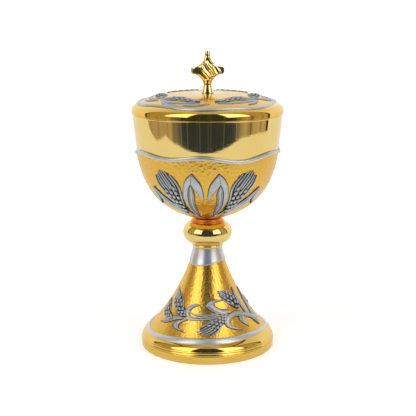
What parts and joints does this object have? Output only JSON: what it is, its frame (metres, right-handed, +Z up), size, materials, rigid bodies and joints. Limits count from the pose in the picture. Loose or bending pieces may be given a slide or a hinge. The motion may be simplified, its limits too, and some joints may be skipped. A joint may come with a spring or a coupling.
{
  "type": "covered ciborium",
  "caption": "Covered altar cup with a wide bowl, knopped stem, flared round foot, lift-off domed lid with a cross finial, and applied silver wheat ornament.",
  "frame": {"origin": "centre of the foot's underside, on the surface it stands on", "axes": "+Z up along the axis of the cup, -Y towards the front of the finial's cross, +X to its right"},
  "size_m": [0.1204, 0.1204, 0.2392],
  "materials": {
    "polished_gold": "gilt, mirror polished",
    "hammered_gold": "gilt, hammered and satin",
    "silver": "silvered, relief with dark recesses",
    "satin_silver": "silvered, satin",
    "steel": "plain turned steel"
  },
  "bodies": {
    "vessel": {"foot_ring": "polished_gold", "foot_cone": "hammered_gold", "foot_band": "silver", "foot_wheat_ears": "silver", "foot_leaves": "silver", "foot_washer": "steel", "tie_rod": "steel", "tie_nut": "steel", "stem_sleeve": "satin_silver", "lower_collar": "polished_gold", "knop": "polished_gold", "upper_collar": "polished_gold", "cup_boss": "steel", "cup_calyx": "hammered_gold", "cup_liner": "polished_gold", "cup_wave_wire": "silver", "cup_wheat_ears": "silver", "cup_leaves": "silver"},
    "lid_seat": {"lid_locating_ring": "polished_gold"},
    "lid": {"lid_shell": "polished_gold", "lid_wave_wire": "silver", "lid_wheat_ears": "silver", "lid_leaves": "silver", "finial_cross": "polished_gold", "finial_screw": "steel", "finial_washer": "steel", "finial_nut": "steel"}
  },
  "joints": [
    {"name": "lid_lift", "type": "slide", "parent": "vessel", "child": "lid_seat", "axis": [0, 0, 1], "range_m": [0, 0.08]},
    {"name": "lid_turn", "type": "hinge", "parent": "lid_seat", "child": "lid", "pos_m": [0, 0, 0.195], "axis": [0, 0, 1], "continuous": true}
  ]
}
